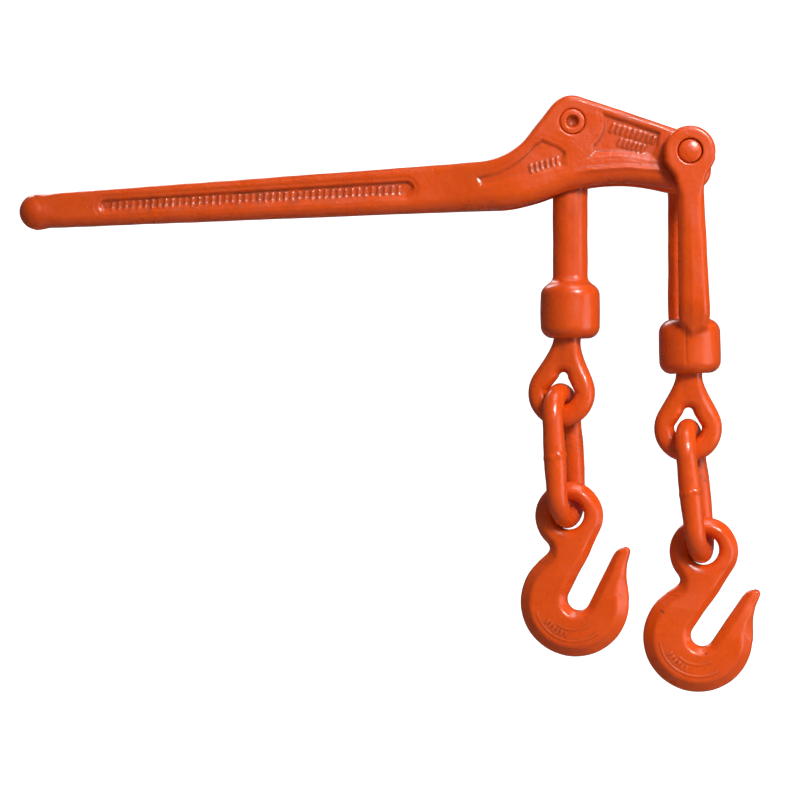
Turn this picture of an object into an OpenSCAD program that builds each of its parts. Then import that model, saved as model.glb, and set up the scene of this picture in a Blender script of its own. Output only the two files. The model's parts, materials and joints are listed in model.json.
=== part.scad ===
// Lever-type load binder: a forged lever with a forked head, a yoke and a tension link that hang
// from it, and on each a swivel eye, a chain link and a grab hook.
// +X runs from the knob to the head, +Y away from the front, +Z up.
// The origin is the middle of the hand grip. The hooks hang down in -Z.

/* [Lever] */
// From the hand grip to the link pin
link_pin_x = 291.9; // [285:0.1:298]
// Height of the link pin above the hand grip
link_pin_z = 51.1; // [48:0.1:54]
// Distance from the link pin to the yoke trunnions
pivot_gap = 72.4; // [70:0.1:75]
// Slope of the line from the link pin down to the trunnions, degrees
pivot_slope = 15; // [13:0.5:17]
// Radius of the knob at the end of the handle
knob_r = 11; // [9:0.5:12.5]
// Width of the handle, front to back
handle_w = 19.5; // [16:0.5:24]
// Width of the forked head, front to back
head_w = 36; // [32:0.5:36]
// Width of the slot in the fork
slot_w = 16; // [15.5:0.5:18]
// Radius of the trunnions that carry the yoke
trunnion_r = 7.2; // [6:0.1:7.2]
// Radius of the link pin
pin_r = 7.5; // [6:0.1:8]

/* [Yoke and tension link] */
// Radius of the yoke's eyes
yoke_eye_r = 15.4; // [13:0.1:15.4]
// Thickness of each yoke arm
arm_t = 9.5; // [8:0.5:9.5]
// Length from the trunnions to the top of the yoke's barrel
yoke_len = 99.7; // [95:0.1:104]
// Width of the tension link's bar
bar_w = 22; // [18:0.1:22]
// Thickness of the tension link's bar
bar_t = 14.5; // [12:0.5:14.5]
// Length from the link pin to the top of the tension link's barrel
bar_len = 97; // [92:0.1:100]
// Radius of the yoke's barrel
yoke_barrel_r = 18.8; // [17.5:0.1:19]
// Radius of the tension link's barrel
link_barrel_r = 18.2; // [17.5:0.1:19]
// Height of both barrels
barrel_h = 33.5; // [32:0.5:34]

/* [Chain and hooks] */
// Radius of the ball on the swivel eye
ball_r = 11.5; // [11:0.1:11.7]
// Radius of the swivel eye's and the chain link's wire
wire_r = 6.35; // [5.5:0.05:6.35]
// Radius of the swivel eye's ring, to the middle of its wire
ring_r = 14.35; // [14.2:0.05:14.5]
// Length of a chain link, between the middles of its end wires
link_pitch = 76.3; // [74:0.1:78]
// Half the width of a chain link, to the middle of its wire
link_r = 16.35; // [16.35:0.05:17.5]
// Outer radius of the hook's eye
hook_eye_r = 21.2; // [21.1:0.1:21.6]
// Outer radius of the hook's bowl
bowl_r = 33.3; // [33:0.1:34]
// Radius of the throat, half the width of the hook's slot
throat_r = 6.9; // [6:0.1:7.2]
// Thickness of the hook's bowl
hook_t = 17; // [14:0.5:18]

/* [Hidden] */
$fn = 48;
paint = [0.85, 0.27, 0.07];

// The link pin and the trunnions, as [x, z]
pin_at = [link_pin_x, link_pin_z];
trunnion_at = pin_at + pivot_gap * [cos(pivot_slope), -sin(pivot_slope)];
// The barrels, ball centres and ring centres hang below them. A tilt swings the bottom to +X.
yoke_tilt = 1.5;
ball_drop = 16.7;           // from the top of a barrel to the middle of its ball
eye_drop = 50.4;            // from the middle of the ball to the middle of the ring
left_eye_tilt = -6;
right_eye_tilt = -1.1;
left_ball = pin_at + hang(bar_len + ball_drop, 0);
right_ball = trunnion_at + hang(yoke_len + ball_drop, yoke_tilt);
left_ring = left_ball + hang(eye_drop, left_eye_tilt);
right_ring = right_ball + hang(eye_drop, right_eye_tilt);
// The upper end wire of each link lies this far below the middle of its ring
seat_drop = 0.25;
left_seat = left_ring + hang(seat_drop, left_eye_tilt) + [-0.7, 0];
right_seat = right_ring + hang(seat_drop, right_eye_tilt);
left_link_tilt = 3.3;
right_link_tilt = 6.3;
// The eye of each hook hangs round the lower end wire of its link
left_hook_eye = left_seat + hang(link_pitch, left_link_tilt) + [1.2, 1.1];
right_hook_eye = right_seat + hang(link_pitch, right_link_tilt) + [1.5, 0.8];
right_hook_tilt = -7.7;
// The turn of each piece about the vertical
left_eye_yaw = -16;
right_eye_yaw = -9;
left_link_yaw = -24;
right_link_yaw = -17;
left_hook_yaw = -10;
right_hook_yaw = -6;

function hang(length, tilt) = length * [sin(tilt), -cos(tilt)];
function turn(angle) = [cos(angle), sin(angle)];
function arc(centre, r, from, to, steps = 12) =
    [for (i = [0:steps]) centre + r * turn(from + (to - from) * i / steps)];
function bezier(a, b, c, d, steps = 10) = [for (i = [0:steps]) let (t = i / steps, u = 1 - t)
    u * u * u * a + 3 * u * u * t * b + 3 * u * t * t * c + t * t * t * d];

// A flat outline in X and Z, given thickness t along Y about Y = 0
module upright(t) { rotate([90, 0, 0]) linear_extrude(t, center = true) children(); }
// A shape drawn about its own origin, hung at a point [x, z] with a tilt and a turn
module at(point, tilt = 0, yaw = 0) {
    translate([point[0], 0, point[1]]) rotate([0, -tilt, 0]) rotate([0, 0, yaw]) children();
}
// A cylinder along Y about Y = 0
module cross_bar(r, length) { rotate([90, 0, 0]) cylinder(r = r, h = length, center = true); }

// ---- Lever: one forging, with a knob, a handle, a gooseneck and a fork with two trunnions ----
handle_end = [-34, 8.2];
handle_end_low = [-34, -12.3];
neck_top = [236.5, 27.9];
neck_low = [250, -1.2];
belly = [280, 5.9];
arch = [323, 14];
heel = [351, 10.6];
head_boss_r = 16.5;
head_slope = 72;            // the head's top edge faces this way, degrees above +X
gooseneck_slope = 53;
fork_clear = 1.1;           // room round the tension link inside the fork
link_eye_r = 14;
link_swing = 30;

function lever_outline() = concat(
    [handle_end_low],
    bezier(neck_low, neck_low + [9, 0.45], belly - [8.5, 3.06], belly),
    bezier(belly, belly + [14, 5.8], arch - [14, 0], arch),
    bezier(arch, arch + [10, 0], heel + [-8, 1.4], heel),
    arc([363.5, 22], 13.1, -92, 0),
    arc(trunnion_at + [3.6, -0.4], 11.3, 0, head_slope),
    arc(pin_at, head_boss_r, head_slope, 90 + gooseneck_slope),
    bezier([264.8, 43.2], [258.9, 35.1], [247.5, 28.8], neck_top),
    [handle_end]);

module handle_panel() {
    polygon(concat(arc([191, 10.7], 5.6, -87, 93), arc([9, 0.6], 4.2, 93, 267)));
}
module gooseneck_panel() {
    polygon(concat(bezier([236, 11.2], [255, 11.5], [268, 20], [288.5, 23.5]),
        [[288, 33], [284, 36], [273.5, 40.5]], bezier([268, 37], [256, 22], [244, 19.5], [234, 18.6])));
}
module head_panel() {
    polygon(concat([[343, 27.5], [345.2, 44.6]], arc(pin_at, 18.5, 18, -48, 8),
        bezier([301, 29], [310, 31.5], [328, 31.5], [338, 28])));
}

module fork_slot() {
    edge = pin_at + (bar_w / 2 + fork_clear) * turn(180 - link_swing);
    below = 62;             // reaches under the gooseneck
    upright(slot_w) {
        translate(pin_at) circle(link_eye_r + fork_clear);
        polygon([pin_at + [-link_eye_r - fork_clear, 0], edge, edge + hang(below + 10, -link_swing),
            pin_at + [110, -below], pin_at + [110, 30], pin_at + [-link_eye_r - fork_clear, 30]]);
    }
}

module lever() {
    widen_from = 205;
    widen_to = 262;
    panel_depth = 2;
    end_gap = 0.5;          // the yoke's arms clear the cheeks by this
    trunnion_end = head_w / 2 + end_gap + arm_t + 0.5;
    dome = 0.8;
    color(paint) union() {
        difference() {
            intersection() {
                upright(head_w) polygon(lever_outline());
                translate([0, 0, -50]) linear_extrude(150) polygon([
                    [-40, -handle_w / 2], [widen_from, -handle_w / 2], [widen_to, -head_w / 2],
                    [400, -head_w / 2], [400, head_w / 2], [widen_to, head_w / 2],
                    [widen_from, handle_w / 2], [-40, handle_w / 2]]);
            }
            fork_slot();
            translate([pin_at[0], 0, pin_at[1]]) cross_bar(pin_r, head_w + 2);
            for (side = [-1, 1]) {
                translate([0, side * handle_w / 2, 0]) upright(2 * panel_depth) handle_panel();
                translate([0, side * head_w / 2, 0]) upright(2 * panel_depth) head_panel();
                translate([0, side * head_w / 2, 0]) upright(2 * panel_depth)
                    intersection() { gooseneck_panel(); translate([widen_to, 0]) square(60); }
            }
        }
        translate([-33.7, 0, -2.2]) sphere(knob_r);
        for (side = [-1, 1]) translate([trunnion_at[0], side * head_w / 2, trunnion_at[1]])
            rotate([-side * 90, 0, 0]) {
                translate([0, 0, -2]) cylinder(r = trunnion_r, h = trunnion_end - head_w / 2 + 2 - dome);
                translate([0, 0, trunnion_end - head_w / 2 - dome])
                    cylinder(r1 = trunnion_r, r2 = trunnion_r - 2 * dome, h = dome);
            }
    }
}

// ---- Link pin: a rivet through both cheeks and the tension link, flush, with dimpled ends ----
module link_pin() {
    dimple_r = 3.9;
    dimple_depth = 2;
    color(paint) translate([pin_at[0], 0, pin_at[1]]) difference() {
        cross_bar(pin_r, head_w);
        for (side = [-1, 1]) translate([0, side * head_w / 2, 0]) cross_bar(dimple_r, 2 * dimple_depth);
    }
}

// ---- Barrel: the socket that holds a swivel eye's ball. Its top is at the origin ----
socket_gap = 0.5;
mouth_r = 9.7;
module barrel(r) {
    shoulder = 8;
    foot = 5;
    rotate_extrude() polygon(concat([[0, -barrel_h]], arc([r - foot, foot - barrel_h], foot, -90, 0, 6),
        arc([r - shoulder, -shoulder], shoulder, 0, 90, 8), [[0, 0]]));
}
module socket() {
    translate([0, 0, -ball_drop]) sphere(ball_r + socket_gap);
    translate([0, 0, -barrel_h - 1]) cylinder(r = mouth_r, h = barrel_h - ball_drop);
    translate([0, 0, -barrel_h - 1]) cylinder(r1 = mouth_r + 2.5, r2 = mouth_r, h = 2.5);
}

// ---- Tension link: a flat bar between its eye on the link pin and its barrel ----
module tension_link() {
    pin_gap = 0.35;
    edge = 5.5;             // bevel along the bar
    w = bar_w / 2;
    t = bar_t / 2;
    color(paint) at(pin_at) difference() {
        union() {
            cross_bar(link_eye_r, bar_t);
            translate([0, 0, -bar_len - 4]) linear_extrude(bar_len + 4) polygon([
                [-w, -t + edge], [-w + edge, -t], [w - edge, -t], [w, -t + edge],
                [w, t - edge], [w - edge, t], [-w + edge, t], [-w, t - edge]]);
            translate([0, 0, -bar_len]) barrel(link_barrel_r);
        }
        cross_bar(pin_r + pin_gap, bar_t + 2);
        translate([0, 0, -bar_len]) socket();
    }
}

// ---- Yoke: two arms that hang on the trunnions and join in a barrel ----
function arm_outline() = concat([[0, 0]], bezier([-14.6, -4.8], [-12.5, -11], [-8.2, -13], [-8.1, -23], 6),
    [[-9.1, -60], [-10.5, -yoke_len], [-7, -yoke_len - 11], [0, -yoke_len - 16],
     [7, -yoke_len - 11], [10.5, -yoke_len], [9.1, -60]],
    bezier([8.1, -23], [8.2, -13], [12.5, -11], [14.6, -4.8], 6));

module yoke_arm(side) {
    inner = head_w / 2 + 0.5;
    bevel = 1.2;
    translate([0, side * (inner + arm_t / 2), 0]) difference() {
        union() {
            upright(arm_t) polygon(arm_outline());
            rotate([-side * 90, 0, 0]) translate([0, 0, -arm_t / 2]) {
                cylinder(r = yoke_eye_r, h = arm_t - bevel);
                translate([0, 0, arm_t - bevel])
                    cylinder(r1 = yoke_eye_r, r2 = yoke_eye_r - bevel, h = bevel);
            }
        }
        for (edge = [-1, 1]) translate([edge * 9.2, side * arm_t / 2, -24])
            rotate([0, 0, 45]) translate([0, 0, -120]) linear_extrude(120) square(6, center = true);
    }
}

module yoke() {
    trunnion_gap = 0.35;
    color(paint) at(trunnion_at, yoke_tilt) difference() {
        union() {
            yoke_arm(-1);
            yoke_arm(1);
            translate([0, 0, -yoke_len]) barrel(yoke_barrel_r);
        }
        cross_bar(trunnion_r + trunnion_gap, 80);
        translate([0, 0, -yoke_len]) socket();
    }
}

// ---- Swivel eye: a ball, a neck and a teardrop ring. Its origin is the middle of the ball ----
module swivel_eye() {
    neck_r = 7.45;
    leg_lean = 33;          // each leg's lean from the vertical
    apex = ring_r / sin(leg_lean);
    leg = ring_r / tan(leg_lean);
    lap = 1;                // each leg runs this far into the ring's end
    color(paint) {
        sphere(ball_r);
        translate([0, 0, apex - eye_drop]) cylinder(r = neck_r, h = eye_drop - apex);
        translate([0, 0, apex - eye_drop]) sphere(neck_r);
        for (side = [-1, 1]) translate([0, 0, apex - eye_drop]) rotate([0, side * (180 - leg_lean), 0])
            cylinder(r = wire_r - 0.05, h = leg + lap);
        translate([0, 0, -eye_drop]) rotate([90, 0, 0]) rotate([0, 0, 180 - leg_lean])
            rotate_extrude(angle = 180 + 2 * leg_lean) translate([ring_r, 0]) circle(wire_r);
    }
}
module left_swivel_eye() { at(left_ball, left_eye_tilt, left_eye_yaw) swivel_eye(); }
module right_swivel_eye() { at(right_ball, right_eye_tilt, right_eye_yaw) swivel_eye(); }

// ---- Chain link: welded round bar in the Y-Z plane. Its origin is the middle of its top wire ----
module chain_link() {
    straight = link_pitch - 2 * link_r;
    weld_r = wire_r + 0.5;
    weld_w = 5;
    color(paint) translate([0, 0, -link_pitch / 2]) {
        for (side = [-1, 1]) {
            translate([0, side * link_r, -straight / 2]) cylinder(r = wire_r, h = straight);
            translate([0, 0, side * straight / 2]) rotate([0, side * -90, 0]) rotate([0, 0, -90])
                rotate_extrude(angle = 180) translate([link_r, 0]) circle(wire_r);
        }
        translate([0, -link_r, -weld_w / 2]) cylinder(r = weld_r, h = weld_w);
    }
}
module left_chain_link() { at(left_seat, left_link_tilt, left_link_yaw) chain_link(); }
module right_chain_link() { at(right_seat, right_link_tilt, right_link_yaw) chain_link(); }

// ---- Grab hook: an eye, a shank, a round bowl and a slot that grips one link edge on ----
hook_hole_r = 9.6;
bowl_at = [3.1, -52.6];
throat_at = [5.7, -50.5];
slot_lean = 26;
tip_at = [34.4, -21.9];
tip_r = 2.9;

// Both outlines reach into the slot, which is cut out of them last
module hook_side() {
    polygon(concat([[0, 0], (hook_eye_r - 1.5) * turn(216)], [[-12.6, -21.5], [-15.4, -25.4]],
        [bowl_at + (bowl_r - 1.5) * turn(130), bowl_at, throat_at,
         (hook_eye_r + 1.5) * turn(-slot_lean - 8)]));
}
module hook_tip() {
    polygon(concat([bowl_at, throat_at, throat_at + 22 * turn(90 - slot_lean)], [[30.6, -20.1]],
        arc(tip_at, tip_r, 100, -20, 6),
        bezier([36.2, -25.6], [34, -32], [35.3, -40], bowl_at + (bowl_r - 1) * turn(6))));
}
module hook_slot() {
    translate(throat_at) circle(throat_r);
    translate(throat_at) rotate(-slot_lean) translate([-throat_r, 0]) square([2 * throat_r, 60]);
}

module grab_hook() {
    eye_t = 12.6;
    shank_t = 14;
    tip_t = 11;
    rim = 4.5;              // rounding round the bowl and the eye
    hole_bevel = 3;
    color(paint) difference() {
        union() {
            translate([bowl_at[0], 0, bowl_at[1]]) rotate([90, 0, 0]) rotate_extrude() polygon(concat(
                [[0, -hook_t / 2]], arc([bowl_r - rim, rim - hook_t / 2], rim, -90, 0, 5),
                arc([bowl_r - rim, hook_t / 2 - rim], rim, 0, 90, 5), [[0, hook_t / 2]]));
            rotate([90, 0, 0]) rotate_extrude() polygon(concat(
                [[0, -eye_t / 2]], arc([hook_eye_r - rim, rim - eye_t / 2], rim, -90, 0, 5),
                arc([hook_eye_r - rim, eye_t / 2 - rim], rim, 0, 90, 5), [[0, eye_t / 2]]));
            upright(shank_t) hook_side();
            upright(tip_t) hook_tip();
        }
        cross_bar(hook_hole_r, 40);
        for (side = [-1, 1]) translate([0, side * eye_t / 2, 0]) rotate([side * 90, 0, 0])
            translate([0, 0, -1]) cylinder(r1 = hook_hole_r + hole_bevel + 1, r2 = hook_hole_r,
                h = hole_bevel + 1);
        upright(40) hook_slot();
    }
}
module left_grab_hook() { at(left_hook_eye, 0, left_hook_yaw) grab_hook(); }
module right_grab_hook() { at(right_hook_eye, right_hook_tilt, right_hook_yaw) grab_hook(); }

lever();
link_pin();
tension_link();
yoke();
left_swivel_eye();
right_swivel_eye();
left_chain_link();
right_chain_link();
left_grab_hook();
right_grab_hook();
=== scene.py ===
import json
import math

import bpy
import numpy as np
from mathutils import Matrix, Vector


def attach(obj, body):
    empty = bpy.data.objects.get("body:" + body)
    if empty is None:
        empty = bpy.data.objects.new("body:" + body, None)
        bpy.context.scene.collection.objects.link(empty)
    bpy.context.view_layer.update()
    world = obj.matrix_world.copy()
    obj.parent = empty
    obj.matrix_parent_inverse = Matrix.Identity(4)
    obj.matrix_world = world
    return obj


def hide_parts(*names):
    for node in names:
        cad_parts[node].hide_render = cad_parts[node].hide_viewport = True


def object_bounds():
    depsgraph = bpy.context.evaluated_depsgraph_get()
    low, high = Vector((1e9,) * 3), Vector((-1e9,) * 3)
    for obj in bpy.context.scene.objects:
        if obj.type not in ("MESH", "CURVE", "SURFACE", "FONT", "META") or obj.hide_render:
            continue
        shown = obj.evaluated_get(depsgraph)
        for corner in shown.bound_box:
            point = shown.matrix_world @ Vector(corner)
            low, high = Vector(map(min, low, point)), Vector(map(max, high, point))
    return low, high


# A lever-type load binder in orange enamel. Each forged, cast or welded piece is the surface where a
# signed distance field is zero, in millimetres about the piece's own origin, and is meshed from it.

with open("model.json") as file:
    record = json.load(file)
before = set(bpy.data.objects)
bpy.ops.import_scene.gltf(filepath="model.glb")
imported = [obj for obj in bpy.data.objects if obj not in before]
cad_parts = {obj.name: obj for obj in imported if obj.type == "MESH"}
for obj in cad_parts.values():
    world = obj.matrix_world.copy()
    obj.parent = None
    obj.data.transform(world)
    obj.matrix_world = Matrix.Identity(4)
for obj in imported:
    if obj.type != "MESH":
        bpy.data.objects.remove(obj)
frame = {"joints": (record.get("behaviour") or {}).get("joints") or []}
cad_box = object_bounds()
MM = 0.001
JOINTS = {joint["name"]: joint for joint in frame["joints"]}

# ---- Driving sizes, mm and degrees, as in the CAD part ----
HANDLE_W = 19.5
HEAD_W = 36
SLOT_W = 16
TRUNNION_R = 7.2
PIN_R = 7.5
ARM_INNER = 18.5
ARM_T = 9.5
YOKE_LEN = 99.7
BAR_W = 22
BAR_T = 14.5
BAR_LEN = 97
BARREL_H = 33.5
YOKE_BARREL_R = 18.8
LINK_BARREL_R = 18.2
BALL_R = 11.5
BALL_DROP = 16.7
EYE_DROP = 50.4
WIRE_R = 6.35
RING_R = 14.35
LINK_PITCH = 76.3
LINK_R = 16.35
HOOK_EYE_R = 21.2
HOOK_HOLE_R = 9.6
BOWL_R = 33.3
THROAT_R = 6.9
SEAT_DROP = 0.25            # from the middle of a swivel eye's ring to its link's upper wire
SEAT_SHIFT = {"left": -0.7, "right": 0}
YOKE_TILT = 1.5
EYE_TILT = {"left": -6, "right": -1.1}
EYE_YAW = {"left": -16, "right": -9}
LINK_TILT = {"left": 3.3, "right": 6.3}
LINK_YAW = {"left": -24, "right": -17}
HOOK_TILT = {"left": 0, "right": -7.7}
HOOK_YAW = {"left": -10, "right": -6}
# From the middle of a link's lower wire to the middle of its hook's eye
HOOK_OFFSET = {"left": (1.2, 1.1), "right": (1.5, 0.8)}


# ---- Places in the frame ----
def joint_place(name):
    """A joint's place as x and z, in millimetres."""
    x, _, z = JOINTS[name]["pos_m"]
    return np.array([x, z]) / MM


def hang(length, tilt):
    """The step from a pivot to a point that hangs length below it, swung by tilt towards +X."""
    angle = math.radians(tilt)
    return length * np.array([math.sin(angle), -math.cos(angle)])


def turn(angle):
    """The unit step at an angle from +X towards +Z."""
    return np.array([math.cos(math.radians(angle)), math.sin(math.radians(angle))])


PIN = joint_place("link_pivot")
TRUNNION = joint_place("yoke_pivot")


# ---- Outlines: lists of x, z points ----
def arc(centre, radius, start, end, steps=12):
    """Points on a circle, from angle start to angle end."""
    return [np.add(centre, radius * turn(start + (end - start) * i / steps)) for i in range(steps + 1)]


def bezier(a, b, c, d, steps=10):
    """Points on a cubic curve from a to d, with handles b and c."""
    a, b, c, d = (np.array(p, float) for p in (a, b, c, d))
    shares = [i / steps for i in range(steps + 1)]
    return [(1 - t) ** 3 * a + 3 * (1 - t) ** 2 * t * b + 3 * (1 - t) * t * t * c + t ** 3 * d
            for t in shares]


# ---- Distance fields: negative inside, in millimetres ----
SAME_POINT = 1e-9           # square of the distance below which two outline points are one


def polygon(x, z, points):
    """Signed distance to a closed outline."""
    shape = np.broadcast(x, z).shape
    nearest = np.full(shape, np.inf)
    inside = np.zeros(shape, bool)
    for (ax, az), (bx, bz) in zip(points, points[1:] + points[:1]):
        ex, ez = bx - ax, bz - az
        if ex * ex + ez * ez < SAME_POINT:
            continue
        px, pz = x - ax, z - az
        share = np.clip((px * ex + pz * ez) / (ex * ex + ez * ez), 0, 1)
        nearest = np.minimum(nearest, (px - share * ex) ** 2 + (pz - share * ez) ** 2)
        if ez != 0:
            inside ^= ((az > z) != (bz > z)) & (px < ex * pz / ez)
    return np.where(inside, -1, 1) * np.sqrt(nearest)


def capsule(x, z, start, end, start_r, end_r):
    """Signed distance, in the plane, to a bar with round ends."""
    ex, ez = end[0] - start[0], end[1] - start[1]
    px, pz = x - start[0], z - start[1]
    share = np.clip((px * ex + pz * ez) / (ex * ex + ez * ez), 0, 1)
    return np.hypot(px - share * ex, pz - share * ez) - (start_r + (end_r - start_r) * share)


def blend(a, b, k):
    """Union of two fields with a fillet of about k."""
    overlap = np.maximum(k - np.abs(a - b), 0) / k
    return np.minimum(a, b) - overlap * overlap * k / 4


def cut(a, b, k):
    """Field a less field b, with the edge between them eased by about k."""
    return -blend(-a, b, k)


def round_meet(a, b, r):
    """Intersection of two fields, with the edge between them rounded to radius r."""
    corner = np.hypot(np.maximum(a + r, 0), np.maximum(b + r, 0))
    return np.minimum(np.maximum(a, b) + r, 0) + corner - r


def bevel_meet(a, b, c, k):
    """Intersection of two fields, with a bevel of leg c on the edge, eased by about k."""
    return -blend(blend(-a, -b, k), -(a + b + c) * math.sqrt(0.5), k)


def within(distance, ease):
    """1 inside, 0 outside, with a smooth slope from -ease to ease."""
    share = np.clip((ease - distance) / (2 * ease), 0, 1)
    return share * share * (3 - 2 * share)


def ripple(x, y, z, seed):
    """The slow unevenness of a hammered surface, from -1 to 1."""
    fast = np.sin(0.31 * x + 0.11 * y + seed) * np.sin(0.27 * z - 0.23 * y + 2 * seed)
    slow = np.sin(0.093 * x - 0.12 * z + 0.19 * y + 3 * seed)
    return (fast + slow) / 2


def parting(y):
    """The forging's sides lean in from its parting line and leave a low ridge on it."""
    return 0.15 * (1 - np.exp(-(y / 0.7) ** 2)) + 0.02 * np.abs(y)


def rib_row(x, z, start, end, count, length, width=1.3):
    """Height, from 0 to 1, of a row of small plain ribs across the line from start to end."""
    span = math.hypot(end[0] - start[0], end[1] - start[1])
    ux, uz = (end[0] - start[0]) / span, (end[1] - start[1]) / span
    across = (z - start[1]) * ux - (x - start[0]) * uz
    along = (x - start[0]) * ux + (z - start[1]) * uz - 0.15 * across
    pitch = span / (count - 1)
    nearest = np.clip(np.round(along / pitch), 0, count - 1) * pitch
    side = np.abs(along - nearest) - width / 2
    return within(np.maximum(side, np.abs(across) - length / 2), 0.55)


# ---- Lever ----
HANDLE_PANEL = ((9, 0.6), (191, 10.7), 4.2, 5.6)    # its two ends and their radii


def lever_outline():
    """Along the underside from the knob to the trunnions, over the head and back along the top."""
    belly, arch, heel = (280, 5.9), (323, 14), (351, 10.6)
    return (
        [np.array([-34, -12.3])]
        + bezier((250, -1.2), (259, -0.75), (271.5, 2.84), belly)
        + bezier(belly, (294, 11.7), (309, 14), arch)
        + bezier(arch, (333, 14), (343, 12), heel)
        + arc((363.5, 22), 13.1, -92, 0)
        + arc(TRUNNION + (3.6, -0.4), 11.3, 0, 72)
        + arc(PIN, 16.5, 72, 143)
        + bezier((264.8, 43.2), (258.9, 35.1), (247.5, 28.8), (236.5, 27.9))
        + [np.array([-34, 8.2])]
    )


def gooseneck_panel():
    """The sunk panel on the bend, below and left of the link pin."""
    low = bezier((236, 11.2), (255, 11.5), (268, 20), (288.5, 23.5))
    high = bezier((268, 37), (256, 22), (244, 19.5), (234, 18.6))
    return low + [(288, 33), (284, 36), (273.5, 40.5)] + high


def head_panel():
    """The sunk panel between the link pin and the trunnion."""
    left = arc(PIN, 18.5, 18, -48, 8)
    low = bezier((301, 29), (310, 31.5), (328, 31.5), (338, 28))
    return [(343, 27.5), (345.2, 44.6)] + left + low


def recess(distance, depth, low_side, step):
    """Depth of a sunk panel with a fine step round it. Its wall is gentle on its low side."""
    ease = 1 + 1.8 * low_side
    return depth * within(distance + ease * 0.6, ease) + step * within(distance - 2.6, 0.6)


def lever_half_width(x, z):
    """Half the lever's width at a place on its side, with its panels and ribs."""
    widening = within(233.5 - x, 28.5)
    half = HANDLE_W / 2 + (HEAD_W - HANDLE_W) / 2 * widening
    start, end, start_r, end_r = HANDLE_PANEL
    middle = np.interp(x, [start[0], end[0]], [start[1], end[1]])
    grip = capsule(x, z, start, end, start_r, end_r)
    half = half - recess(grip, 1.9, within(z - middle, 2), 0.3)
    worn = 0.55 + 0.2 * np.sin(0.31 * x) * np.sin(0.13 * x + 1)
    half = half + worn * rib_row(x, z, (13, 0.8), (187, 10.4), 44, 5.2)
    neck = polygon(x, z, gooseneck_panel())
    low_side = within(z - np.interp(x, [236, 288], [15, 29]), 3)
    half = half - recess(neck, 1.1, low_side, 0.12)
    half = half + 0.7 * rib_row(x, z, (267, 22.6), (283, 27.2), 6, 4.6)
    head = polygon(x, z, head_panel())
    half = half - recess(head, 1.5, within(z - 34, 3), 0.12)
    half = half + 0.9 * rib_row(x, z, (316, 47.2), (341, 39.8), 9, 5.2)
    half = half + 0.9 * rib_row(x, z, (320.5, 38.6), (334.5, 34.6), 6, 4.8)
    return half + 0.9 * arch_lip(x, z)


def arch_lip(x, z):
    """Height, 0 to 1, of the low ridge along the head's underside, just above its rounding."""
    crest = np.interp(x, [285, 300, 323, 345], [18, 21.6, 23.4, 21.9])
    return np.exp(-((z - crest) / 1.3) ** 2) * within(np.abs(x - 322) - 26, 8)


def fork_slot(x, y, z):
    """The room between the cheeks in which the tension link's eye and bar turn."""
    clear = 15.1
    edge = PIN + (BAR_W / 2 + 1.1) * turn(150)
    room = [PIN + (-clear, 0), edge, edge + hang(72, -30), PIN + (110, -62), PIN + (110, 30),
            PIN + (-clear, 30)]
    eye = np.hypot(x - PIN[0], z - PIN[1]) - clear
    return np.maximum(np.minimum(polygon(x, z, room), eye), np.abs(y) - SLOT_W / 2)


def lever_rounding(x, z):
    """Radius of the lever's long edges: wide along its underside and where the knob begins."""
    middle = np.interp(x, [-34, 236, 262, 292, 363], [-1.8, 13, 19, 32, 27])
    low_r = np.interp(x, [-34, -18, 200, 250, 340, 352], [8.6, 6, 7.5, 8.5, 8.5, 4])
    top_r = np.interp(x, [-34, -18], [8.6, 3.4])
    return top_r + (low_r - top_r) * within(z - middle, 3)


def lever_field(x, y, z):
    """Handle, knob and forked head, with the pin's bore and the two domed trunnions."""
    side = polygon(x, z, lever_outline())
    face = np.abs(y) - lever_half_width(x, z)
    body = round_meet(side + parting(y), face, lever_rounding(x, z))
    knob = np.sqrt((x + 33.7) ** 2 + y * y + (z + 2.2) ** 2) - 10.85
    body = blend(body, knob, 2.5) + 0.12 * ripple(x, y, z, 1)
    body = cut(body, fork_slot(x, y, z), 1.2)
    bore = np.hypot(x - PIN[0], z - PIN[1])
    mouth = bore - PIN_R - 0.15 - 0.9 * np.exp(-np.maximum(HEAD_W / 2 - np.abs(y), 0) / 0.5)
    body = cut(body, mouth, 0.3)
    spindle = np.hypot(x - TRUNNION[0], z - TRUNNION[1])
    dome = np.abs(y) - 28.4 + 0.024 * spindle * spindle
    trunnion = round_meet(spindle - TRUNNION_R, np.maximum(dome, 10 - np.abs(y)), 1.4)
    return blend(body, trunnion, 0.6)


# ---- Link pin: a rivet, dimpled at both ends, upset a little into its bore ----
def pin_field(x, y, z):
    rho = np.hypot(x, z)
    end = HEAD_W / 2 - np.abs(y)
    body = round_meet(rho - PIN_R, -end - 0.25 + 0.006 * rho * rho, 1.1)
    dimple = np.sqrt(rho * rho + (end - 1.6 + 2) ** 2) - 3.9
    return cut(body, dimple, 0.9) + 0.05 * ripple(4 * x, y, 4 * z, 2)


# ---- Barrels: hollow below, where the swivel eye's ball sits ----
def barrel(x, y, z, radius, shoulder):
    """Its top is at z = 0, and is rounded to radius shoulder."""
    rho = np.hypot(x, y)
    middle = -BARREL_H / 2
    bulge = radius - 0.5 * ((z - middle) / middle) ** 2
    ends = np.abs(z - middle) + middle
    return round_meet(rho - bulge, ends, np.where(z > middle, shoulder, 7))


def socket(x, y, z):
    """The hollow for a swivel eye's ball and neck, with its barrel's top at z = 0."""
    rho = np.hypot(x, y)
    ball = np.sqrt(rho * rho + (z + BALL_DROP) ** 2) - BALL_R - 0.5
    mouth = np.maximum(rho - 9.7, z + BALL_DROP)
    return np.minimum(ball, mouth)


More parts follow.
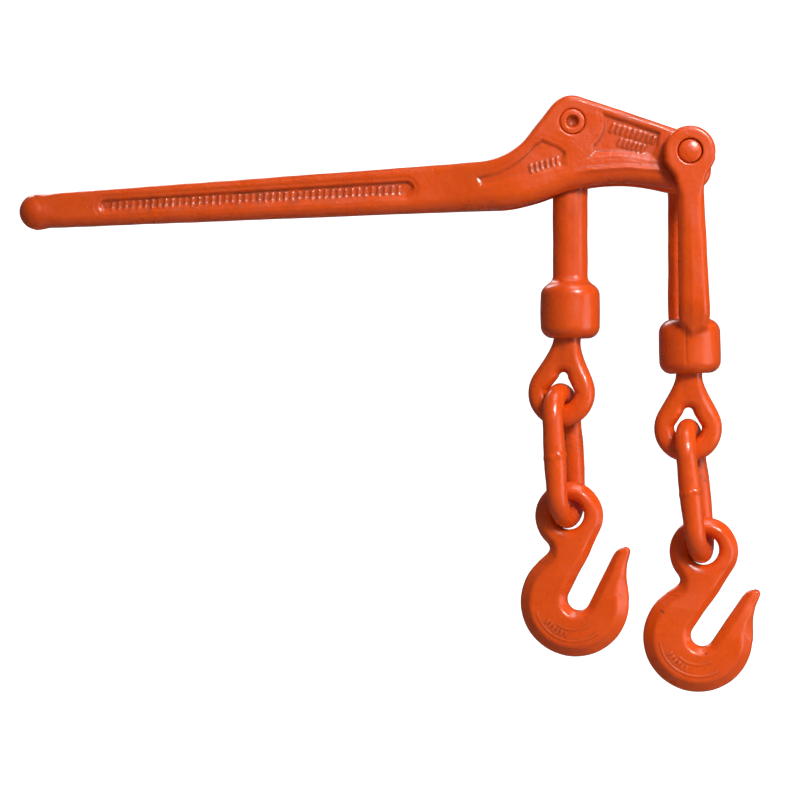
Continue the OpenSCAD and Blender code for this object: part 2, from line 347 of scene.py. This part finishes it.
# ---- Tension link ----
def tension_link_field(x, y, z):
    """A flat bar from the pin's eye to the barrel."""
    flat = bevel_meet(np.abs(x) - BAR_W / 2, np.abs(y) - BAR_T / 2, 5.6, 3)
    bar = np.maximum(flat, np.maximum(z, -BAR_LEN - 4 - z))
    eye = round_meet(np.hypot(x, z) - 14, np.abs(y) - BAR_T / 2, 2.4)
    body = blend(blend(bar, eye, 0.3), barrel(x, y, z + BAR_LEN, LINK_BARREL_R, 7), 5)
    body = body + 0.13 * ripple(x, y, z, 4)
    body = cut(body, socket(x, y, z + BAR_LEN), 1.5)
    return cut(body, np.hypot(x, z) - PIN_R - 0.35, 0.8)


# ---- Yoke ----
def arm_outline():
    """An arm of the yoke from the side: eye, waist, and a foot that is lowest left of its middle."""
    left = bezier((-14.6, -4.8), (-12.5, -11), (-8.2, -13), (-8.1, -23), 8)
    right = bezier((8.1, -23), (8.2, -13), (12.5, -11), (14.6, -4.8), 8)
    foot = [(-10.2, -98), (-9.8, -103), (-5.5, -109.5), (-1.6, -113.5), (9, -107), (10, -102),
            (10.2, -98)]
    return [np.array([0, 0])] + left + [(-9.1, -60)] + foot + [(9.1, -60)] + right


def yoke_arms(x, y, z):
    """Both arms. They lean in to the barrel, and one half of each outer face slopes back."""
    lean = within(z + 104, 16)
    inner = ARM_INNER - 6.5 * lean
    slope = 0.32 * np.maximum(np.where(y < 0, -x, x) - 0.8, 0) * within(z + 42, 24)
    out = np.abs(y) - inner - (ARM_T - 0.1 - 2.2 * lean) + slope
    outline = blend(polygon(x, z, arm_outline()), np.hypot(x, z) - 15.4, 2.5)
    low = within(z + 24, 6)
    arms = bevel_meet(outline, out, 1.3 + 2.3 * low, 1.2)
    return bevel_meet(arms, inner - np.abs(y), 0.5 + 3.3 * low, 1)


def yoke_field(x, y, z):
    """Arms and barrel, with a shallow seam down the front of the barrel."""
    core = barrel(x, y, z + YOKE_LEN, YOKE_BARREL_R, 8.5)
    body = blend(yoke_arms(x, y, z), core, 2.4) + 0.12 * ripple(x, y, z, 5)
    seam = np.exp(-((x + 4.3) / 0.7) ** 2) * within(np.abs(z + 116) - 12, 3) * within(y, 2)
    body = body + 0.3 * seam
    body = cut(body, np.hypot(x, z) - TRUNNION_R - 0.45, 0.9)
    return cut(body, socket(x, y, z + YOKE_LEN), 1.5)


# ---- Swivel eye: a ball, a neck and an eye with an egg-shaped hole ----
def eye_outline():
    """From the middle of the ring: a round bottom, sloping shoulders and the neck."""
    right = bezier((18.7, 8.7), (15.3, 16), (7.6, 26), (7.3, 35), 10)
    left = [(-x, z) for x, z in reversed(right)]
    return arc((0, 0), RING_R + WIRE_R - 0.05, -205, 25, 30) + right + [(7.3, 50), (-7.3, 50)] + left


def swivel_eye_field(x, y, z):
    """Ball, tapered neck and a ring that thickens from the wire's size towards the neck."""
    ball = np.sqrt(x * x + y * y + z * z) - BALL_R
    middle = z + EYE_DROP
    hole = capsule(x, middle, (0, 1.1), (0, 9.6), RING_R - WIRE_R + 0.45, 3.1)
    side = cut(polygon(x, middle, eye_outline()), hole, 0.5)
    depth = WIRE_R - 0.2 + 1.1 * within(26 - middle, 12)
    eye = round_meet(side, np.abs(y) - depth, 5.7 - 1.5 * within(26 - middle, 8))
    taper = 0.2 * np.maximum(34 - middle, 0)
    neck = np.maximum(np.hypot(x, y) - 7.3 + taper, np.maximum(z, 22 - middle))
    body = blend(np.maximum(eye, middle - 36), neck, 3)
    return blend(body + 0.1 * ripple(x, y, z, 6), ball, 2)


# ---- Chain link: in its own Y-Z plane, from the middle of its upper wire ----
def chain_link_field(x, y, z):
    """One wire loop, a little stout at mid length, with a weld bead across its front side."""
    straight = LINK_PITCH - 2 * LINK_R
    middle = z + LINK_PITCH / 2
    past = np.maximum(np.abs(middle) - straight / 2, 0)
    wire = np.hypot(np.hypot(y, past) - LINK_R, x) - WIRE_R + 0.07 * (1 + ripple(x, y, z, 7))
    seam = middle - 0.12 * x
    bead = np.exp(-(seam / 1.7) ** 2) * within(y, 2)
    uneven = 0.55 + 0.25 * np.sin(0.9 * x + 0.5 * y + 1)
    stout = 0.45 * within(np.abs(middle) - 12, 6)
    return wire - bead * uneven - stout


# ---- Grab hook: places from the middle of its eye ----
BOWL_AT = (3.1, -52.6)
THROAT_AT = (5.7, -50.5)
SLOT_LEAN = 26              # of the slot's middle line, from upright
TIP_AT = (34.3, -21.2)


def hook_side():
    """The shank's outline, from the eye down the back of the neck to the bowl and the throat."""
    eye_low = (HOOK_EYE_R - 1.5) * turn(212)
    neck = bezier((-13.2, -15.6), (-11.6, -19.2), (-12, -22.4), (-15.6, -26.2), 6)
    back = np.add(BOWL_AT, (BOWL_R - 1.5) * turn(130))
    front = HOOK_EYE_R * turn(-SLOT_LEAN)
    return [(0, 0), eye_low] + neck + [back, BOWL_AT, THROAT_AT, front]


def hook_tip():
    """The outline of the point, from the bowl up the slot, round the tip and down outside."""
    inner = np.add(THROAT_AT, 26 * turn(90 - SLOT_LEAN))
    crest = [(27.3, -22.5), (28.6, -20.8), (30.4, -19.5)] + arc(TIP_AT, 2.9, 100, -20, 6)
    outer = bezier((36.2, -25.6), (34, -32), (35.3, -40), np.add(BOWL_AT, (BOWL_R - 1) * turn(6)))
    return [BOWL_AT, THROAT_AT, inner] + crest + outer


def hook_slot(x, z):
    """The shank's edge of the slot leans out at its top to meet the eye's outline."""
    ux, uz = turn(90 - SLOT_LEAN)
    px, pz = x - THROAT_AT[0], z - THROAT_AT[1]
    along = np.clip(px * ux + pz * uz, 0, 45)
    flare = 0.84 * within(20 - along, 9) * (pz * ux > px * uz)
    return np.hypot(px - along * ux, pz - along * uz) - THROAT_R + flare


def hook_marks(x, z):
    """Low forged marks on the bowl: two crescents and a row of plain ribs between them."""
    px, pz = x - BOWL_AT[0], z - BOWL_AT[1]
    radius = np.hypot(px, pz)
    angle = np.degrees(np.arctan2(pz, px))
    outer = within(np.maximum(np.abs(radius - 23) - 0.35, np.abs(angle + 108) * 0.35 - 20), 0.7)
    inner = within(np.maximum(np.abs(radius - 16) - 0.35, np.abs(angle + 90) * 0.35 - 13), 0.7)
    nearest = np.clip(np.round((angle + 128) / 8), -2, 3) * 8
    spoke = np.abs(angle + 128 - nearest) * 0.34 - 0.55
    ribs = within(np.maximum(spoke, np.abs(radius - 19.4) - 1.5), 0.5)
    return 0.5 * outer + 0.4 * inner + 0.4 * ribs


def hook_half_thickness(x, z):
    """Half the hook's thickness: thick in the bowl, thinner to the eye and thinnest at the tip."""
    shank = np.interp(z, [-36, -26, -12], [8.5, 7.4, 6.4])
    tip = np.interp(z, [-50, -36, -20], [8.5, 7.4, 4.8])
    return tip + (shank - tip) * within(x - 12, 5) + hook_marks(x, z) * 0.8 - 0.4


def grab_hook_field(x, y, z):
    """Eye, shank, bowl and point, less the slot and the hole, with bevelled faces."""
    eye = np.hypot(x, z) - HOOK_EYE_R
    bowl = np.hypot(x - BOWL_AT[0], z - BOWL_AT[1]) - BOWL_R
    solid = blend(blend(polygon(x, z, hook_side()), eye, 2.5), bowl, 3)
    solid = blend(solid, polygon(x, z, hook_tip()), 3)
    face = np.abs(y) - hook_half_thickness(x, z)
    slim = within(28 - x, 5) * within(-38 - z, 8)
    stout = within(z + 24, 8)
    body = bevel_meet(solid + parting(y), face, 4.4 + 2 * stout - 3.8 * slim, 1.2)
    throat = bevel_meet(-hook_slot(x, z), face, 4.6 - 1.6 * slim, 1.2)
    hole = bevel_meet(HOOK_HOLE_R - 0.6 - np.hypot(x + 0.3, z - 1.1), face, 3.1, 2)
    body = np.maximum(np.maximum(body, throat), hole)
    return body + 0.1 * (1 + ripple(x, y, z, 8))


# ---- Meshing ----
EDGE_FROM, EDGE_RANGE = 0.16, 0.5           # the bend where paint starts to be rubbed and painted paler as an edge highlight, and its rise
HOLLOW_FROM, HOLLOW_RANGE = 0.08, 0.6       # the same for the grime and painted shade in a hollow


def grid_lines(stretches):
    """Grid lines from (start, end, step) stretches that follow each other."""
    parts = [np.arange(start, end, step) for start, end, step in stretches]
    return np.append(np.concatenate(parts), stretches[-1][1])


def surface_net(field, lines):
    """Vertices and quads of the surface where field is zero: one vertex in each cell it crosses."""
    value = field(*np.meshgrid(*lines, indexing="ij", sparse=True))
    shape = tuple(len(line) - 1 for line in lines)
    cells, points, rings = [], [], []
    for axis in range(3):
        near = np.moveaxis(value, axis, 0)[:-1]
        far = np.moveaxis(value, axis, 0)[1:]
        hit = np.nonzero((near < 0) != (far < 0))
        share = near[hit] / (near[hit] - far[hit])
        index = list(hit[1:])
        index.insert(axis, hit[0])
        point = np.stack([lines[a][index[a]] for a in range(3)], 1)
        step = lines[axis][hit[0] + 1] - lines[axis][hit[0]]
        point[:, axis] += share * step
        ring = np.stack([cell_number(index, axis, offset, shape)
                         for offset in ((-1, -1), (0, -1), (0, 0), (-1, 0))], 1)
        outward = near[hit] < 0
        ring[~outward] = ring[~outward][:, ::-1]
        rings.append(ring)
        cells.append(ring.ravel())
        points.append(np.repeat(point, 4, 0))
    used, place = np.unique(np.concatenate(cells), return_inverse=True)
    points = np.concatenate(points)
    count = np.bincount(place)
    vertices = np.stack([np.bincount(place, points[:, a]) / count for a in range(3)], 1)
    return vertices, place.reshape(-1, 4)


def cell_number(index, axis, offset, shape):
    """Number of the cell that lies beside a grid edge, one or none back along the other two axes."""
    place = list(index)
    second, third = (axis + 1) % 3, (axis + 2) % 3
    place[second] = place[second] + offset[0]
    place[third] = place[third] + offset[1]
    return np.ravel_multi_index(place, shape)


def around(field, points, reach):
    """The field at reach either side of each point, along each axis."""
    pairs = []
    for axis in range(3):
        step = np.zeros(3)
        step[axis] = reach
        pairs.append((field(*(points + step).T), field(*(points - step).T)))
    return pairs


def settle(field, points):
    """Moves the points onto the surface along the field's slope."""
    reach, least_steep, longest_move = 0.1, 0.2, 0.5
    pairs = around(field, points, reach)
    slope = np.stack([(high - low) / (2 * reach) for high, low in pairs], 1)
    steep = np.maximum((slope ** 2).sum(1), least_steep)
    move = (field(*points.T) / steep)[:, None] * slope
    return points - np.clip(move, -longest_move, longest_move)


def bend_of(field, points):
    """How sharply the surface bends at each point: above 0 on an edge, below 0 in a hollow."""
    reach = 0.9
    total = sum(high + low for high, low in around(field, points, reach))
    return (total - 6 * field(*points.T)) / reach ** 2


def near_sites(points, sites):
    """1 close to the sites, each (x, y, z, radius), falling off to 0 over half a radius beyond."""
    share = np.zeros(len(points))
    for *site, radius in sites:
        gap = np.sqrt(((points - site) ** 2).sum(1)) - radius
        share = np.maximum(share, within(gap, radius / 2))
    return share


def place_points(points, origin, tilt, yaw):
    """From a piece's own millimetres to the frame's metres."""
    t, w = math.radians(tilt), math.radians(yaw)
    swing = np.array([[math.cos(t), 0, -math.sin(t)], [0, 1, 0], [math.sin(t), 0, math.cos(t)]])
    spin = np.array([[math.cos(w), -math.sin(w), 0], [math.sin(w), math.cos(w), 0], [0, 0, 1]])
    return (points @ (swing @ spin).T + (origin[0], 0, origin[1])) * MM


def add_attribute(mesh, name, values):
    """A number at each vertex, for the material to read."""
    layer = mesh.attributes.new(name, "FLOAT", "POINT")
    layer.data.foreach_set("value", values.astype(np.float32))


def make_piece(name, node, body, slot, field, lines, origin=(0, 0), tilt=0, yaw=0, chips=(),
               stain_and_shade_sites=()):
    """Meshes a field, places it, and puts it in a CAD node's stead on that node's body."""
    points, quads = surface_net(field, lines)
    points = settle(field, settle(field, points))
    bend = bend_of(field, points)
    mesh = bpy.data.meshes.new(name)
    mesh.from_pydata(place_points(points, origin, tilt, yaw), [], quads.tolist())
    mesh.polygons.foreach_set("use_smooth", [True] * len(quads))
    add_attribute(mesh, "edge", np.clip((bend - EDGE_FROM) / EDGE_RANGE, 0, 1))
    add_attribute(mesh, "hollow", np.clip((-bend - HOLLOW_FROM) / HOLLOW_RANGE, 0, 1))
    add_attribute(mesh, "chips", near_sites(points, chips))
    # Stain sites: dirt, and shade painted on the handle's panel and on the tension bar
    add_attribute(mesh, "stain_and_shade", near_sites(points, stain_and_shade_sites))
    mesh.materials.append(MATERIALS[slot])
    piece = bpy.data.objects.new(name, mesh)
    bpy.context.scene.collection.objects.link(piece)
    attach(piece, body)
    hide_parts(node)


# ---- Materials ----
class Nodes:
    """A short way to write a material's nodes."""

    def __init__(self, tree):
        self.tree = tree
        self.place = self.add("ShaderNodeTexCoord").outputs["Object"]

    def add(self, kind, **settings):
        made = self.tree.nodes.new(kind)
        for name, value in settings.items():
            setattr(made, name, value)
        return made

    def set(self, socket, value):
        if isinstance(value, bpy.types.NodeSocket):
            self.tree.links.new(value, socket)
        else:
            socket.default_value = value

    def noise(self, scale, detail=3.0, rough=0.55, seed=0.0):
        made = self.add("ShaderNodeTexNoise", noise_dimensions="4D")
        self.set(made.inputs["Vector"], self.place)
        self.set(made.inputs["W"], seed)
        self.set(made.inputs["Scale"], scale)
        self.set(made.inputs["Detail"], detail)
        self.set(made.inputs["Roughness"], rough)
        return made.outputs[0]

    def cells(self, scale):
        made = self.add("ShaderNodeTexVoronoi")
        self.set(made.inputs["Vector"], self.place)
        self.set(made.inputs["Scale"], scale)
        return made.outputs["Distance"]

    def span(self, value, low, high, to_low=0.0, to_high=1.0):
        """Maps value from low..high to to_low..to_high, smoothly and clamped."""
        made = self.add("ShaderNodeMapRange", interpolation_type="SMOOTHSTEP")
        for socket, number in zip(made.inputs, (value, low, high, to_low, to_high)):
            self.set(socket, number)
        return made.outputs[0]

    def math(self, operation, a, b):
        made = self.add("ShaderNodeMath", operation=operation, use_clamp=operation == "MULTIPLY")
        self.set(made.inputs[0], a)
        self.set(made.inputs[1], b)
        return made.outputs[0]

    def mix(self, share, a, b):
        """Colour a where share is 0, colour b where it is 1."""
        made = self.add("ShaderNodeMix", data_type="RGBA")
        self.set(made.inputs[0], share)
        for socket, colour in zip((made.inputs[6], made.inputs[7]), (a, b)):
            self.set(socket, colour if isinstance(colour, bpy.types.NodeSocket) else (*colour, 1))
        return made.outputs[2]

    def attribute(self, name):
        return self.add("ShaderNodeAttribute", attribute_name=name).outputs["Fac"]

    def bump(self, height, distance, strength, normal=None):
        made = self.add("ShaderNodeBump")
        self.set(made.inputs["Height"], height)
        self.set(made.inputs["Distance"], distance)
        self.set(made.inputs["Strength"], strength)
        if normal is not None:
            self.set(made.inputs["Normal"], normal)
        return made.outputs["Normal"]


ORANGE = (0.80, 0.086, 0.003)
DEEP_ORANGE = (0.75, 0.074, 0.0025)
MOTTLE = (0.70, 0.062, 0.003)
# Paler orange for rubbed edges and for a highlight painted along them
RUBBED_EDGE_AND_HIGHLIGHT = (0.82, 0.12, 0.025)
# Dark brown for grime and for shade painted into hollows and under the lever's head
GRIME_AND_SHADE = (0.20, 0.036, 0.008)
SPECK = (0.30, 0.035, 0.012)
BARE_SCALE = (0.055, 0.022, 0.014)


def enamel_wear(nodes, chip_level, dirt_and_shade):
    """How far the enamel is chipped off, and how much grime and painted shade darken it in hollows and
    at the stain sites.
    """
    flakes = nodes.span(nodes.noise(310, 3, 0.7, seed=9.0), 0.60, 0.635)
    chips = nodes.math("MULTIPLY", flakes, nodes.attribute("chips"))
    chips = nodes.math("MULTIPLY", chips, chip_level)
    # Hollows are darkened: partly grime, partly painted shade where light does not reach
    grime_and_shade = nodes.math("MULTIPLY", nodes.attribute("hollow"), nodes.span(nodes.noise(90, 4), 0.2, 0.6))
    # Smears at the stain sites darken the colour: dirt, and painted shade
    smears_and_shade = nodes.span(nodes.noise(120, 5, 0.65, seed=11.0), 0.42, 0.66, 0.0, 0.6)
    grime_and_shade = nodes.math("MAXIMUM", grime_and_shade, nodes.math("MULTIPLY", smears_and_shade, nodes.attribute("stain_and_shade")))
    return chips, nodes.math("MULTIPLY", grime_and_shade, dirt_and_shade)


def enamel_colour(nodes, chips, grime_and_shade):
    """Patchy orange, paler on rubbed edges with a painted edge highlight, dark where grime and painted
    shade lie, and the bare forging's brown in chips.
    """
    patches = nodes.span(nodes.noise(26, 3), 0.3, 0.7)
    colour = nodes.mix(patches, ORANGE, DEEP_ORANGE)
    mottle = nodes.span(nodes.noise(190, 4, seed=2.0), 0.38, 0.7, 0.0, 0.3)
    colour = nodes.mix(mottle, colour, MOTTLE)
    # Paler edges: rubbed paint, and a painted highlight along the edges
    rubbed_and_highlight = nodes.math("MULTIPLY", nodes.attribute("edge"), nodes.span(nodes.noise(150, 4), 0.4, 0.7))
    colour = nodes.mix(nodes.math("MULTIPLY", rubbed_and_highlight, 0.55), colour, RUBBED_EDGE_AND_HIGHLIGHT)
    # Grime and painted shade darken the hollows and stain sites
    colour = nodes.mix(grime_and_shade, colour, GRIME_AND_SHADE)
    specks = nodes.span(nodes.noise(420, 2, seed=5.0), 0.70, 0.74)
    colour = nodes.mix(nodes.math("MULTIPLY", specks, 0.5), colour, SPECK)
    return nodes.mix(chips, colour, BARE_SCALE)


def enamel_roughness(nodes, chips, grime_and_shade):
    """Glossy, duller in patches, in chips, and where grime and painted shade lie."""
    rough = nodes.span(nodes.noise(60, 4, seed=3.0), 0.3, 0.7, 0.24, 0.38)
    rough = nodes.math("ADD", rough, nodes.math("MULTIPLY", chips, 0.4))
    return nodes.math("ADD", rough, nodes.math("MULTIPLY", grime_and_shade, 0.25))


def enamel_relief(nodes, chips, grit):
    """Waves where the paint flowed, the forging's scale under it, pimples, and sunk chips."""
    waves = nodes.bump(nodes.noise(95, 3), 0.0011, 0.35 * grit)
    scale = nodes.bump(nodes.noise(330, 4, 0.6, seed=4.0), 0.0005, 0.4 * grit, waves)
    pimples = nodes.span(nodes.cells(210), 0.0, 0.16, 1.0, 0.0)
    raised = nodes.bump(pimples, 0.00025, 0.5 * grit, scale)
    return nodes.bump(chips, -0.0003, 0.8, raised)


def enamel(name, grit, chip_level, dirt_and_shade):
    """Orange enamel over a forging: grit is its texture, chip_level how chipped, and the last how
    strong its grime and painted shade in hollows are.
    """
    material = bpy.data.materials.new(name)
    material.use_nodes = True
    nodes = Nodes(material.node_tree)
    shader = material.node_tree.nodes["Principled BSDF"]
    chips, grime_and_shade = enamel_wear(nodes, chip_level, dirt_and_shade)
    nodes.set(shader.inputs["Base Color"], enamel_colour(nodes, chips, grime_and_shade))
    nodes.set(shader.inputs["Roughness"], enamel_roughness(nodes, chips, grime_and_shade))
    nodes.set(shader.inputs["Normal"], enamel_relief(nodes, chips, grit))
    shader.inputs["IOR"].default_value = 1.5
    shader.inputs["Specular IOR Level"].default_value = 0.5
    shader.inputs["Coat Weight"].default_value = 0.28
    shader.inputs["Coat Roughness"].default_value = 0.09
    return material


MATERIALS = {
    "lever_enamel": enamel("lever_enamel", 1.0, 1.0, 0.75),
    "fitting_enamel": enamel("fitting_enamel", 0.7, 0.8, 0.9),
    "chain_enamel": enamel("chain_enamel", 0.6, 1.0, 1.0),
}


# ---- Pieces: grid lines, then the sites of chips and of stains and painted shade, as x, y, z, radius ----
def make_lever():
    lines = (grid_lines([(-46, 0, 1), (0, 200, 0.85), (200, 381, 0.74)]),
             grid_lines([(-29.6, 29.6, 0.78)]),
             grid_lines([(-14, 68.6, 0.76)]))
    chips = ((107, -9, -6.5, 3), (132, -9, -5.4, 2), (230, -12, 1, 3), (322, -17, 15, 3), (60, 9, 8, 4))
    # Painted shade along the middle of the handle's sunk panel, on both sides
    stain_and_shade_sites = [(x, side * 8, 0.1 + 0.055 * x, 6) for x in range(14, 190, 11) for side in (-1, 1)]
    stain_and_shade_sites += [(343, -17, 30, 7), (330, -17, 44, 12)]
    make_piece("lever_forging", "lever", "lever", "lever_enamel", lever_field, lines,
               chips=chips, stain_and_shade_sites=stain_and_shade_sites)


def make_link_pin():
    lines = (grid_lines([(-8.1, 8.1, 0.4)]), grid_lines([(-18.7, 18.7, 0.4)]),
             grid_lines([(-8.1, 8.1, 0.4)]))
    make_piece("link_rivet", "link_pin", "lever", "lever_enamel", pin_field, lines, PIN)


def make_tension_link():
    lines = (grid_lines([(-19, 19, 0.62)]), grid_lines([(-19, 19, 0.62)]),
             grid_lines([(-132, 15.4, 0.66)]))
    chips = ((5, -7, -44, 5),)
    # Painted shade across the bar below the lever's head
    stain_and_shade_sites = ((0, -7, -40, 11), (0, 7, -50, 12))
    make_piece("tension_link_forging", "tension_link", "tension_link", "fitting_enamel",
               tension_link_field, lines, PIN, chips=chips, stain_and_shade_sites=stain_and_shade_sites)


def make_yoke():
    lines = (grid_lines([(-19.7, 19.7, 0.66)]), grid_lines([(-29, 29, 0.66)]),
             grid_lines([(-134.5, 16.5, 0.68)]))
    make_piece("yoke_forging", "yoke", "yoke", "fitting_enamel", yoke_field, lines, TRUNNION, YOKE_TILT)


def make_swivel_eye(side):
    lines = (grid_lines([(-21.4, 21.4, 0.55)]), grid_lines([(-12.4, 12.4, 0.55)]),
             grid_lines([(-71, 12.4, 0.55)]))
    make_piece(side + "_eye_forging", side + "_swivel_eye", side + "_eye", "chain_enamel",
               swivel_eye_field, lines, joint_place(side + "_swivel"), EYE_TILT[side], EYE_YAW[side],
               stain_and_shade_sites=((0, 0, -19, 8),))


def make_chain_link(side):
    lines = (grid_lines([(-8, 8, 0.5)]), grid_lines([(-24, 24, 0.5)]), grid_lines([(-83.6, 7.4, 0.5)]))
    low_wire = joint_place(side + "_link_hinge")
    upper = low_wire + hang(SEAT_DROP - RING_R, EYE_TILT[side]) + (SEAT_SHIFT[side], 0)
    make_piece(side + "_link_wire", side + "_chain_link", side + "_link", "chain_enamel",
               chain_link_field, lines, upper, LINK_TILT[side], LINK_YAW[side],
               chips=((0, 16, -28, 8),), stain_and_shade_sites=((0, 16, -26, 10),))


def make_grab_hook(side):
    lines = (grid_lines([(-30.4, 38.4, 0.55)]), grid_lines([(-9.2, 9.2, 0.55)]),
             grid_lines([(-87.2, 22.2, 0.55)]))
    eye = joint_place(side + "_hook_hinge") + HOOK_OFFSET[side]
    chips = ((-14, -8, -28, 4), (-20, -8, -36, 4), (9, -8, -61, 5), (8, 8, -70, 6), (-20, 8, -50, 5))
    stain_and_shade_sites = ((-3, -6, -9, 4), (3, 6, -12, 6))
    make_piece(side + "_hook_forging", side + "_grab_hook", side + "_hook", "chain_enamel",
               grab_hook_field, lines, eye, HOOK_TILT[side], HOOK_YAW[side], chips, stain_and_shade_sites)


# ---- Stage, light and camera ----
def make_stage(centre, floor_z):
    """A round pale floor that curves up into a wall, bright behind the object."""
    radius, curve, height, around_count = 3.4, 1.0, 2.6, 96
    profile = [(0.0, floor_z), (radius - curve, floor_z)]
    for i in range(1, 13):
        x, z = turn(-90 + 90 * i / 12)
        profile.append((radius - curve + curve * x, floor_z + curve + curve * z))
    profile.append((radius, floor_z + height))
    vertices = [(centre.x + r * turn(360 * k / around_count)[0], r * turn(360 * k / around_count)[1], z)
                for r, z in profile[1:] for k in range(around_count)]
    faces = [(row * around_count + k, row * around_count + (k + 1) % around_count,
              (row + 1) * around_count + (k + 1) % around_count, (row + 1) * around_count + k)
             for row in range(len(profile) - 2) for k in range(around_count)]
    faces.append(tuple(range(around_count - 1, -1, -1)))
    mesh = bpy.data.meshes.new("floor")
    mesh.from_pydata(vertices, [], faces)
    mesh.polygons.foreach_set("use_smooth", [True] * len(faces))
    mesh.materials.append(stage_material(centre.x))
    floor = bpy.data.objects.new("floor", mesh)
    floor.visible_glossy = False
    bpy.context.scene.collection.objects.link(floor)


def stage_material(middle_x):
    """Pale and matt, with a bright patch on the wall behind the object."""
    material = bpy.data.materials.new("pale_floor")
    material.use_nodes = True
    nodes = Nodes(material.node_tree)
    shader = material.node_tree.nodes["Principled BSDF"]
    shader.inputs["Base Color"].default_value = (0.66, 0.66, 0.65, 1)
    shader.inputs["Roughness"].default_value = 0.9
    shader.inputs["Emission Color"].default_value = (1, 1, 1, 1)
    split = nodes.add("ShaderNodeSeparateXYZ")
    nodes.set(split.inputs[0], nodes.place)
    behind = nodes.span(split.outputs["Y"], 1.7, 2.2)
    offset = nodes.math("SUBTRACT", split.outputs["X"], middle_x)
    narrow = nodes.span(nodes.math("ABSOLUTE", offset, 0.0), 0.95, 1.5, 1.0, 0.0)
    low = nodes.span(split.outputs["Z"], 0.75, 1.3, 1.0, 0.0)
    card = nodes.math("MULTIPLY", nodes.math("MULTIPLY", behind, narrow), low)
    nodes.set(shader.inputs["Emission Strength"], card)
    return material


def add_light(name, at, aim, size, power, spread=180):
    light = bpy.data.lights.new(name, "AREA")
    light.shape = "DISK"
    light.size = size
    light.energy = power
    light.spread = math.radians(spread)
    lamp = bpy.data.objects.new(name, light)
    lamp.location = at
    lamp.rotation_euler = (Vector(aim) - Vector(at)).to_track_quat("-Z", "Y").to_euler()
    lamp.visible_camera = False
    bpy.context.scene.collection.objects.link(lamp)


def make_light(centre):
    hooks = centre + Vector((0.18, 0, -0.15))
    add_light("key", centre + Vector((0.97, -1.84, 1.2)), hooks, 0.7, 5.0, 55)
    add_light("top", centre + Vector((0.5, -0.6, 2.0)), centre, 0.9, 11)
    add_light("side", centre + Vector((1.5, -0.7, -0.2)), centre, 1.1, 5)
    add_light("back", centre + Vector((-0.7, 1.5, 1.5)), centre, 0.9, 11)
    world = bpy.data.worlds.new("studio")
    world.use_nodes = True
    background = world.node_tree.nodes["Background"]
    background.inputs["Color"].default_value = (0.96, 0.98, 1.0, 1)
    background.inputs["Strength"].default_value = 0.08
    bpy.context.scene.world = world


def make_camera(centre):
    """Level, square on to the lever's side, a little right of and below the middle of the object."""
    camera = bpy.data.objects.new("camera", bpy.data.cameras.new("camera"))
    camera.data.lens = 103.07
    camera.data.sensor_width = 36
    camera.location = centre + Vector((6.1 * MM, -1.4, -3.1 * MM))
    camera.rotation_euler = (math.radians(90), 0, 0)
    bpy.context.scene.collection.objects.link(camera)
    bpy.context.scene.camera = camera


box_middle = (cad_box[0] + cad_box[1]) / 2
make_camera(box_middle)
make_light(box_middle)
make_stage(box_middle, cad_box[0].z - 0.46)
make_lever()
make_link_pin()
make_tension_link()
make_yoke()
for hand in ("left", "right"):
    make_swivel_eye(hand)
    make_chain_link(hand)
    make_grab_hook(hand)
bpy.context.scene.view_settings.view_transform = "Standard"
